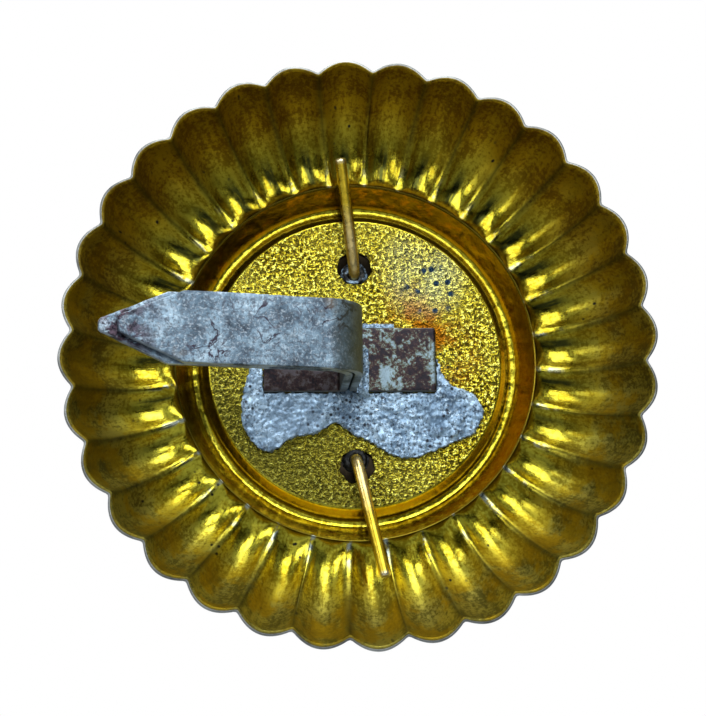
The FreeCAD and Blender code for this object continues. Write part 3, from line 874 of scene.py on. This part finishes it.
    # painted shade along the ridge lines of the outer flutes, bare metal on the ridges near their inner ends
    ridge_shade = n.math(
        "MULTIPLY", n.ramp(ridge, (0.60, 0.0), (1.0, 0.75)), n.ramp(zone, (0.10, 0.2), (0.45, 1.0)))
    colour = n.mix(ridge_shade, colour, (0.045, 0.035, 0.006))
    # painted shade: dark stripe along the upward side of each trough, over the inner part of the flutes,
    # broken by the scratch noise
    shade_stripe = n.ramp(n.attribute("shade_stripe"), (0.15, 0.0), (0.55, 1.0))
    middle = n.math("MULTIPLY", shade_stripe, n.ramp(zone, (0.02, 0.0), (0.04, 1.0), (0.22, 1.0), (0.36, 0.0)))
    middle = n.math("MULTIPLY", middle, n.ramp(scratch, (0.36, 0.5), (0.50, 1.0)))
    colour = n.mix(n.math("MULTIPLY", middle, 0.9), colour, (0.014, 0.020, 0.007))
    inner = n.ramp(zone, (0.0, 1.0), (0.10, 1.0), (0.26, 0.0))
    rub = n.ramp(n.noise(1500.0, 4.0, 0.65), (0.46, 0.0), (0.56, 1.0))
    worn = n.math("MULTIPLY", n.math("MULTIPLY", n.ramp(ridge, (0.68, 0.0), (0.90, 1.0)), inner), rub)
    # painted shade: the bare metal on the ridges is dimmed toward the top
    worn = n.math("MULTIPLY", worn, n.new_math("SUBTRACT", 1.0, n.math("MULTIPLY", upper, 0.7)))
    colour = n.mix(worn, colour, (0.30, 0.32, 0.27))
    cut = n.math("MULTIPLY", n.new_math("SUBTRACT", zone, 1.0), 20.0)
    cloud = n.ramp(blotch, (0.3, 0.0), (0.7, 1.0))
    silver = n.mix(
        cut, n.mix(cloud, (0.42, 0.40, 0.35), (0.74, 0.72, 0.67)),
        n.mix(cloud, (0.07, 0.07, 0.065), (0.40, 0.39, 0.37)))
    colour = n.mix(n.ramp(front, (0.40, 0.0), (0.60, 1.0)), colour, silver)
    rough = n.mix(n.ramp(fine, (0.3, 0.0), (0.7, 1.0)), (0.12,) * 3, (0.26,) * 3)
    rough = n.mix(n.ramp(zone, (0.20, 0.0), (0.45, 1.0)), rough, (0.48,) * 3)
    rough = n.mix(floor, rough, (0.20,) * 3)
    low = n.bump(n.noise(800.0, 3.0, 0.5), 0.5, 0.00005)
    low = n.bump(scratch, n.math("MULTIPLY", n.ramp(zone, (0.0, 0.0), (0.05, 1.0)), 0.5), 0.00003, low)
    low = n.bump(n.noise(2600.0, 4.0, 0.6), 0.35, 0.00002, low)
    grain = n.bump(pits, n.math("MULTIPLY", floor, 1.0), 0.00016, low)
    high = n.bump(n.noise(5200.0, 4.0, 0.6), 0.30, 0.00001, grain)
    return n.finish(colour, rough, high)


def silvered():
    n = Nodes("silvered_brass")
    blotch = n.noise(300.0, 5.0, 0.6)
    colour = n.ramp(
        blotch, (0.25, (0.50, 0.47, 0.40)), (0.5, (0.74, 0.72, 0.67)), (0.75, (0.86, 0.85, 0.81)))
    # painted shade: the back face of the emblem, seen only through the wire holes, is made nearly black
    back_face_shade = n.between(n.split()[1], (FLOOR_FRONT - 0.06) * MM, (FLOOR_FRONT - 0.02) * MM)
    colour = n.mix(back_face_shade, colour, n.mix(blotch, (0.004, 0.003, 0.002), (0.02, 0.014, 0.008)))
    rough = n.ramp(n.noise(1800.0, 4.0, 0.6), (0.3, 0.22), (0.7, 0.42))
    normal = n.bump(n.noise(2400.0, 4.0, 0.6), 0.25, 0.00001)
    return n.finish(colour, rough, normal)


def wire_brass():
    n = Nodes("wire_brass")
    blotch = n.noise(1400.0, 4.0, 0.6)
    parts = n.split()
    reach = n.new_math("ABSOLUTE", parts[2])
    lacquered = n.between(reach, 0.0074, 0.0092)
    pale = n.mix(n.ramp(blotch, (0.3, 0.0), (0.7, 1.0)), (0.46, 0.32, 0.10), (0.74, 0.56, 0.25))
    amber = n.mix(n.ramp(blotch, (0.3, 0.0), (0.7, 1.0)), (0.36, 0.23, 0.012), (0.66, 0.46, 0.04))
    colour = n.mix(lacquered, pale, amber)
    colour = n.mix(n.attribute("cut"), colour, (0.80, 0.74, 0.60))
    rough = n.ramp(n.noise(3000.0, 4.0, 0.6), (0.3, 0.22), (0.7, 0.40))
    normal = n.bump(n.noise(3200.0, 4.0, 0.6), 0.25, 0.00001)
    return n.finish(colour, rough, normal)


def prong_steel():
    n = Nodes("prong_steel")
    cloud = n.noise(620.0, 6.0, 0.66, 0.3)
    grain = n.noise(5200.0, 4.0, 0.75)
    colour = n.ramp(
        cloud, (0.34, (0.030, 0.042, 0.058)), (0.45, (0.11, 0.155, 0.20)),
        (0.55, (0.185, 0.255, 0.315)), (0.70, (0.36, 0.45, 0.52)))
    colour = n.mix(n.ramp(grain, (0.40, 0.75), (0.54, 0.0)), colour, (0.06, 0.065, 0.08))
    colour = n.mix(
        n.ramp(n.noise(7000.0, 3.0, 0.6), (0.52, 0.0), (0.70, 0.5)), colour, (0.48, 0.53, 0.58))
    # dark scribbled marks and brown stains
    line = n.math("ABSOLUTE", n.new_math("SUBTRACT", n.noise(780.0, 3.0, 0.6, 0.8), 0.5))
    area = n.ramp(n.noise(300.0, 2.0, 0.5), (0.54, 0.0), (0.62, 1.0))
    for x, z, size in ((5.3, 1.1, 0.3), (5.1, -0.2, 0.3), (8.7, -0.6, 0.4)):
        area = n.math("ADD", area, spot(n, x, z, size, 0.7))
    colour = n.mix(
        n.math("MULTIPLY", n.ramp(line, (0.012, 1.0), (0.036, 0.0)), area), colour,
        (0.03, 0.022, 0.035))
    stain = n.ramp(n.noise(240.0, 4.0, 0.6), (0.60, 0.0), (0.72, 0.7))
    colour = n.mix(stain, colour, (0.20, 0.155, 0.11))
    tip = n.between(n.split()[0], 0.0100, 0.0122)
    dark_tip = n.math("MULTIPLY", tip, n.ramp(n.noise(1400.0, 5.0, 0.7), (0.43, 0.0), (0.52, 1.0)))
    colour = n.mix(
        dark_tip, colour,
        n.mix(n.ramp(grain, (0.42, 0.0), (0.56, 1.0)), (0.010, 0.007, 0.012), (0.07, 0.045, 0.06)))
    blob = n.math("MULTIPLY", spot(n, 13.35, 0.15, 0.1, 0.25), n.ramp(grain, (0.44, 0.0), (0.56, 0.9)))
    colour = n.mix(blob, colour, (0.36, 0.42, 0.48))
    # painted shade: olive dark on the outside of the bend, where the strip turns away from the light
    bend = n.between(n.split()[0], 0.0019, 0.0003)
    colour = n.mix(n.math("MULTIPLY", bend, 0.80), colour, (0.12, 0.13, 0.08))
    # painted highlight along the strip edges, partly real edge wear
    bright_edge = n.math(
        "MULTIPLY", n.ramp(n.attribute("edge_wear_and_highlight"), (0.80, 0.0), (1.0, 0.7)),
        n.ramp(cloud, (0.44, 0.0), (0.54, 1.0)))
    colour = n.mix(bright_edge, colour, (0.55, 0.62, 0.66))
    # rust on the feet, where the strips lie in the solder
    foot = n.between(n.split()[1], -0.0034, -0.0044)
    rust_cloud = n.noise(1500.0, 6.0, 0.74, 0.2)
    rust_cloud = n.math(
        "ADD", rust_cloud,
        n.new_math("MULTIPLY", n.new_math("SUBTRACT", n.noise(560.0, 2.0, 0.5), 0.50), 0.5))
    rust_cloud = n.math(
        "ADD", rust_cloud, n.new_math("MULTIPLY", n.new_math("SUBTRACT", grain, 0.5), 0.45))
    rust = n.ramp(
        rust_cloud, (0.38, (0.008, 0.006, 0.010)), (0.47, (0.026, 0.012, 0.014)),
        (0.50, (0.055, 0.026, 0.020)), (0.53, (0.085, 0.10, 0.07)), (0.62, (0.20, 0.26, 0.30)))
    far = n.between(n.split()[0], -0.0004, 0.0014)
    rust = n.mix(
        n.math("MULTIPLY", far, 0.8), rust,
        n.ramp(rust_cloud, (0.40, (0.010, 0.008, 0.012)), (0.62, (0.055, 0.022, 0.022))))
    colour = n.mix(foot, colour, rust)
    colour = n.mix(
        n.math("MULTIPLY", n.ramp(n.attribute("edge_wear_and_highlight"), (0.75, 0.0), (1.0, 0.6)), foot), colour,
        (0.35, 0.36, 0.34))
    rough = n.ramp(n.noise(1500.0, 4.0, 0.6), (0.3, 0.34), (0.7, 0.55))
    metallic = n.ramp(rust_cloud, (0.45, 0.7), (0.62, 0.95))
    low = n.bump(n.noise(1300.0, 5.0, 0.6), 0.6, 0.00004)
    normal = n.bump(grain, 0.6, 0.00002, low)
    return n.finish(colour, rough, normal, metallic)


def solder():
    n = Nodes("solder")
    cloud = n.noise(620.0, 6.0, 0.70, 0.5)
    colour = n.ramp(
        cloud, (0.30, (0.05, 0.08, 0.12)), (0.42, (0.18, 0.27, 0.38)), (0.54, (0.33, 0.46, 0.60)),
        (0.68, (0.50, 0.64, 0.78)))
    colour = n.mix(
        n.ramp(n.noise(6500.0, 3.0, 0.75), (0.41, 0.9), (0.49, 0.0)), colour, (0.02, 0.03, 0.05))
    colour = n.mix(
        n.ramp(n.noise(5600.0, 3.0, 0.7), (0.54, 0.0), (0.64, 0.8)), colour, (0.58, 0.70, 0.80))
    # a darker swirl over the part of the pool at -X: partly the solder's own swirl, partly painted shade
    swirl_and_shade = n.math(
        "MULTIPLY", spot(n, -4.9, -3.3, 0.5, 1.5),
        n.ramp(n.noise(650.0, 4.0, 0.6, 1.5), (0.40, 0.1), (0.54, 0.85)))
    colour = n.mix(swirl_and_shade, colour, (0.09, 0.15, 0.23))
    # painted light: a pale blue patch lightens the part of the pool at +X, which lies in the prong's shadow
    colour = n.mix(n.math("MULTIPLY", spot(n, 3.6, -3.6, 1.2, 1.8), 0.35), colour, (0.50, 0.68, 0.90))
    specks = n.ramp(n.cells(1700.0, True), (0.10, 1.0), (0.20, 0.0))
    area = n.ramp(n.noise(500.0, 3.0, 0.5), (0.46, 0.0), (0.58, 1.0))
    colour = n.mix(n.math("MULTIPLY", specks, area), colour, (0.03, 0.035, 0.05))
    # painted shade inside the wire holes: nearly black, broken by noise in the upper hole
    low_hole_shade = spot(n, 0.0, -6.1, 1.1, 0.3)
    high_hole_shade = n.math(
        "MULTIPLY", spot(n, 0.0, 5.7, 1.1, 0.3),
        n.ramp(n.noise(1500.0, 3.0, 0.6), (0.44, 1.0), (0.56, 0.1)))
    colour = n.mix(n.math("ADD", low_hole_shade, high_hole_shade), colour, (0.006, 0.005, 0.004))
    rough = n.ramp(n.noise(2100.0, 4.0, 0.6), (0.3, 0.36), (0.7, 0.60))
    low = n.bump(n.noise(1500.0, 5.0, 0.6), 0.8, 0.00006)
    normal = n.bump(n.noise(4800.0, 4.0, 0.6), 0.6, 0.00003, low)
    return n.finish(colour, rough, normal, 0.45)


def paper():
    n = Nodes("pale_floor")
    colour = n.ramp(n.noise(6.0, 3.0, 0.5), (0.3, 0.86), (0.7, 0.90))
    rough = n.ramp(n.noise(40.0, 3.0, 0.5), (0.3, 0.80), (0.7, 0.90))
    normal = n.bump(n.noise(300.0, 3.0, 0.5), 0.05, 0.0001)
    return n.finish(colour, rough, normal, 0.0)


# ---------------------------------------------------------------- build

shell = rosette()
shell.data.materials.append(lacquer())
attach(shell, "badge")
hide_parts("rosette_shell")

boss = emblem()
boss.data.materials.append(silvered())
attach(boss, "badge")
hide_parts("front_emblem")

steel = prong_steel()
outer_low, outer_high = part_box("outer_prong_foot")
inner_low, inner_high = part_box("inner_prong_foot")
outer_mid = outer_high.x / MM - STRIP_THICK / 2.0
inner_mid = inner_low.x / MM + STRIP_THICK / 2.0
outer_radius = PIVOT.x - outer_mid
inner_radius = PIVOT.x - inner_mid
outer = strip("outer_prong", outer_low.x / MM, outer_mid, -1.0, outer_radius, 3.4, 0.85, 1.0)
inner = strip("inner_prong", inner_high.x / MM, inner_mid, 1.0, inner_radius, 3.5, 0.6, 6.0)
for obj, radius, side in ((outer, outer_radius, "outer"), (inner, inner_radius, "inner")):
    obj.data.materials.append(steel)
    begin = PIVOT + Vector((-radius, 0, 0))
    finish = PIVOT + Vector((-radius * math.cos(FOLD), radius * math.sin(FOLD), 0))
    begin.z = finish.z = STRIP_Z
    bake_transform(obj)
    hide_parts(side + "_prong_foot", side + "_prong_bend", side + "_prong_leg")

brass = wire_brass()
for side in ("upper", "lower"):
    obj, first, end = wire(side + "_wire", side)
    obj.data.materials.append(brass)
    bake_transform(obj)
    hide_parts(side + "_wire_stem", side + "_wire_bend", side + "_wire_tail")

tin = solder()
pool = remeshed("prong_solder", "solder_pool", 0.075, 0.13, 2.2, 11.0)
seam = remeshed("top_solder_seam", "top_seam", 0.05, 0.05, 2.2, 12.0)
blobs = remeshed("wire_solder", "wire_blobs", 0.05, 0.06, 2.5, 13.0)
for obj, node in ((pool, "prong_solder"), (seam, "top_solder_seam"), (blobs, "wire_solder")):
    obj.data.materials.append(tin)
    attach(obj, "badge")
    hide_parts(node)


# ---------------------------------------------------------------- floor, light, camera

def floor():
    half = 1.4
    level = -0.5
    steps = 24
    points, faces = [], []
    for i in range(steps + 1):
        for j in range(steps + 1):
            x = -half + 2 * half * i / steps
            y = -half + 2 * half * j / steps
            points.append((x / MM, y / MM, level / MM))
    for i in range(steps):
        for j in range(steps):
            a = i * (steps + 1) + j
            faces.append((a, a + steps + 1, a + steps + 2, a + 1))
    obj = make_object("pale_floor", points, faces)
    obj.data.materials.append(paper())


def area_light(name, place, target, size, power, colour=(1, 1, 1)):
    data = bpy.data.lights.new(name, "AREA")
    data.shape = "RECTANGLE"
    data.size, data.size_y = size
    data.energy = power
    data.color = colour
    obj = bpy.data.objects.new(name, data)
    scene.collection.objects.link(obj)
    obj.location = place
    obj.rotation_mode = "QUATERNION"
    direction = Vector(target) - Vector(place)
    obj.rotation_quaternion = direction.to_track_quat("-Z", "Y")


def world():
    made = bpy.data.worlds.new("studio")
    scene.world = made
    made.use_nodes = True
    tree = made.node_tree
    tree.nodes.clear()
    out = tree.nodes.new("ShaderNodeOutputWorld")
    mix = tree.nodes.new("ShaderNodeMixShader")
    seen = tree.nodes.new("ShaderNodeLightPath")
    white = tree.nodes.new("ShaderNodeBackground")
    white.inputs["Color"].default_value = (1, 1, 1, 1)
    white.inputs["Strength"].default_value = 1.0
    dim = tree.nodes.new("ShaderNodeBackground")
    dim.inputs["Strength"].default_value = 1.0
    coord = tree.nodes.new("ShaderNodeTexCoord")
    parts = tree.nodes.new("ShaderNodeSeparateXYZ")
    tree.links.new(coord.outputs["Generated"], parts.inputs[0])
    reach = tree.nodes.new("ShaderNodeMapRange")
    reach.inputs["From Min"].default_value = -1.0
    tree.links.new(parts.outputs[2], reach.inputs["Value"])
    ramp = tree.nodes.new("ShaderNodeValToRGB")
    tree.links.new(reach.outputs[0], ramp.inputs[0])
    stops = (
        (0.38, (0.010, 0.016, 0.014)), (0.50, (0.11, 0.135, 0.15)), (0.60, (0.26, 0.31, 0.35)),
        (0.9, (0.34, 0.40, 0.46)))
    while len(ramp.color_ramp.elements) < len(stops):
        ramp.color_ramp.elements.new(0.5)
    for element, (place, colour) in zip(ramp.color_ramp.elements, stops):
        element.position = place
        element.color = (*colour, 1.0)
    tree.links.new(ramp.outputs[0], dim.inputs["Color"])
    tree.links.new(seen.outputs["Is Camera Ray"], mix.inputs[0])
    tree.links.new(dim.outputs[0], mix.inputs[1])
    tree.links.new(white.outputs[0], mix.inputs[2])
    tree.links.new(mix.outputs[0], out.inputs["Surface"])


def camera():
    data = bpy.data.cameras.new("view")
    data.sensor_fit = "AUTO"
    data.sensor_width = 36.0
    data.lens = 64.46
    data.shift_x = 0.0194
    data.shift_y = 0.0607
    data.clip_start = 0.005
    data.clip_end = 10.0
    obj = bpy.data.objects.new("view", data)
    scene.collection.objects.link(obj)
    back = -Vector((-0.05627, -0.98613, 0.15613)).normalized()
    up = Vector((-0.00369, 0.15659, 0.98766))
    right = up.cross(back).normalized()
    up = back.cross(right)
    turn = Matrix((right, up, back)).transposed()
    obj.matrix_world = Matrix.Translation(Vector((5.204, 68.533, -13.960)) * MM) @ turn.to_4x4()
    scene.camera = obj


floor()
world()
centre = (0.0, -0.003, 0.0)
cool = (0.90, 0.97, 1.0)
area_light("overhead", (0.0, 0.02, 0.30), centre, (0.16, 0.24), 0.62, cool)
area_light("between", (-0.01, 0.19, 0.24), centre, (0.16, 0.14), 0.42, cool)
area_light("key", (-0.04, 0.28, 0.13), centre, (0.26, 0.16), 0.62, cool)
area_light("low_fill", (0.07, 0.27, -0.06), centre, (0.24, 0.16), 0.06, cool)
area_light("side", (0.21, 0.17, 0.08), centre, (0.13, 0.10), 0.20, cool)
area_light("front_side", (0.1, -0.3, 0.2), centre, (0.25, 0.25), 0.8)
camera()
scene.view_settings.view_transform = "Standard"
